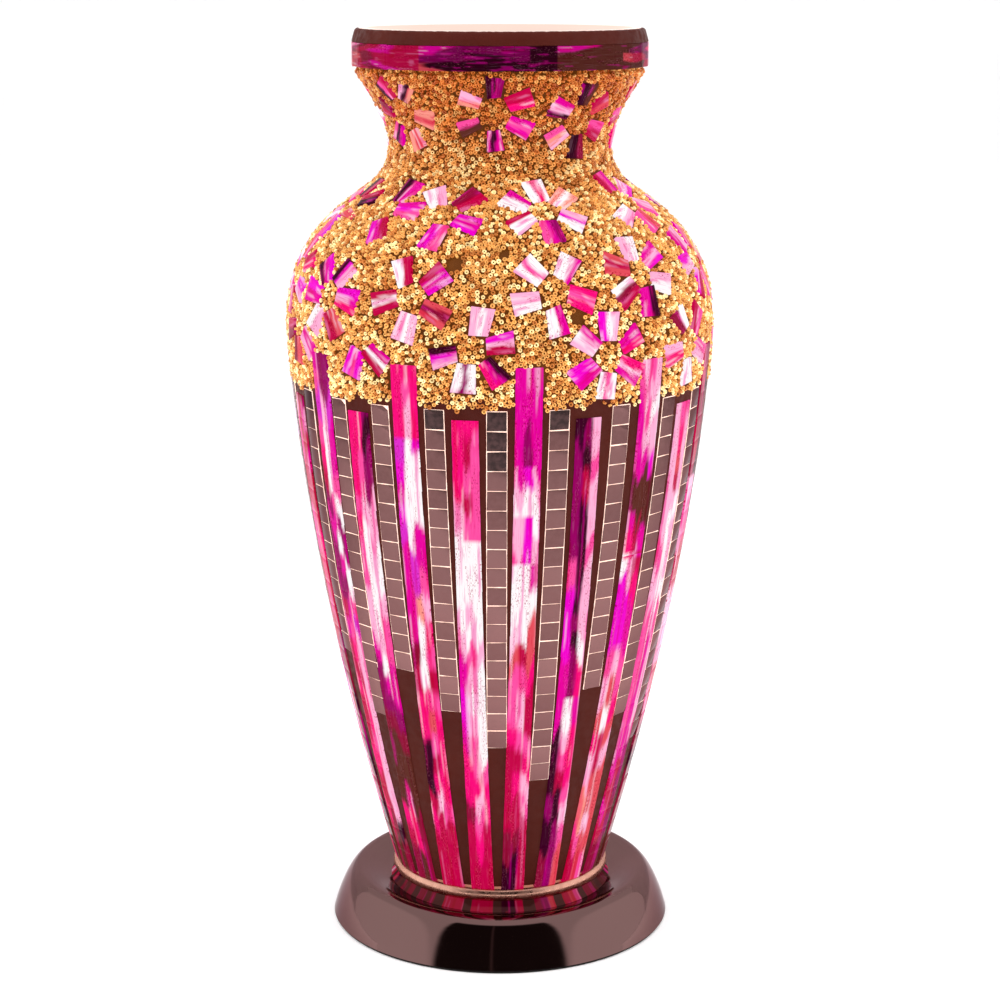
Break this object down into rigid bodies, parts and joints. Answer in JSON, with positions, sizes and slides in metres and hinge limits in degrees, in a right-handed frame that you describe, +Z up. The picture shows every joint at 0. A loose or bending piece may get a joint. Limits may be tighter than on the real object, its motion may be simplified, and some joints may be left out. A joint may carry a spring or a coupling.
{
  "type": "table lamp",
  "caption": "Vase-shaped mosaic glass table lamp on a round polished base: strips of coloured glass and mirror below, petals in gold beads above, with a bulb inside.",
  "frame": {"origin": "middle of the underside, on the surface that the lamp stands on", "axes": "+Z up along the vase's axis, -Y towards the front, +Y towards the cable inlet"},
  "size_m": [0.1791, 0.1791, 0.385],
  "materials": {
    "vase_glass": "clear pressed glass, lit from inside",
    "grout": "smooth brown tile grout",
    "gold_beads": "gold-lined seed beads laid at random",
    "rim_glass": "streaky plum art glass",
    "strip_pink": "streaky hot pink art glass, lit from behind",
    "strip_magenta": "streaky magenta art glass, lit from behind",
    "strip_pale": "white and pink streaked art glass, lit from behind",
    "strip_plum": "dark plum streaked art glass, lit from behind",
    "mirror_glass": "small flat mirror tiles",
    "petal_plum": "streaky plum art glass",
    "petal_pink": "streaky pink art glass",
    "petal_magenta": "streaky magenta art glass",
    "petal_pale": "white and pink streaked art glass",
    "copper_ring": "polished copper-toned plating",
    "black_nickel": "polished black nickel plating",
    "cast_weight": "as cast",
    "black_board": "plain",
    "felt": "black baize",
    "black_plastic": "moulded",
    "zinc_steel": "zinc plated",
    "seal_rubber": "soft black rubber",
    "holder_plastic": "moulded phenolic",
    "porcelain": "glazed porcelain",
    "contact_brass": "bright",
    "black_glass": "moulded black glass",
    "bulb_metal": "rolled thread",
    "bulb_opal": "opal coated glass, lit"
  },
  "bodies": {
    "lamp": {"glass_vase": "vase_glass", "grout_coat": "grout", "bead_bed": "gold_beads", "rim_tiles": "rim_glass", "rim_edge": "grout", "petals_neck": "petal_plum", "petals_upper": "petal_pink", "petals_middle": "petal_magenta", "petals_lower": "petal_pale", "strip_pair_01": "strip_pink", "strip_pair_02": "strip_magenta", "strip_pair_03": "strip_pale", "strip_pair_04": "strip_pink", "strip_pair_05": "strip_plum", "strip_pair_06": "strip_magenta", "strip_pair_07": "strip_pink", "strip_pair_08": "strip_magenta", "strip_pair_09": "strip_pale", "strip_pair_10": "strip_pink", "strip_pair_11": "strip_plum", "mirror_pair_01": "mirror_glass", "mirror_pair_02": "mirror_glass", "mirror_pair_03": "mirror_glass", "mirror_pair_04": "mirror_glass", "mirror_pair_05": "mirror_glass", "mirror_pair_06": "mirror_glass", "mirror_pair_07": "mirror_glass", "mirror_pair_08": "mirror_glass", "mirror_pair_09": "mirror_glass", "mirror_pair_10": "mirror_glass", "mirror_pair_11": "mirror_glass", "foot_ring": "copper_ring", "neck_cup": "black_nickel", "base_dish": "black_nickel", "weight_disc": "cast_weight", "bottom_cover": "black_board", "cover_screws": "zinc_steel", "base_felt": "felt", "cable_gland": "black_plastic", "stem_tube": "zinc_steel", "lower_nut": "zinc_steel", "lower_washer": "zinc_steel", "lower_seal": "seal_rubber", "upper_seal": "seal_rubber", "upper_washer": "zinc_steel", "upper_nut": "zinc_steel", "holder_nut": "zinc_steel", "holder_cap": "holder_plastic", "holder_insert": "porcelain", "holder_skirt": "holder_plastic", "holder_sleeve": "contact_brass", "holder_contact": "contact_brass"},
    "bulb": {"bulb_contact": "zinc_steel", "bulb_insulator": "black_glass", "bulb_cap": "bulb_metal", "bulb_glass": "bulb_opal"}
  },
  "joints": [
    {"name": "bulb_lift", "type": "slide", "parent": "lamp", "child": "bulb", "axis": [0, 0, 1], "range_m": [0, 0.3]}
  ]
}
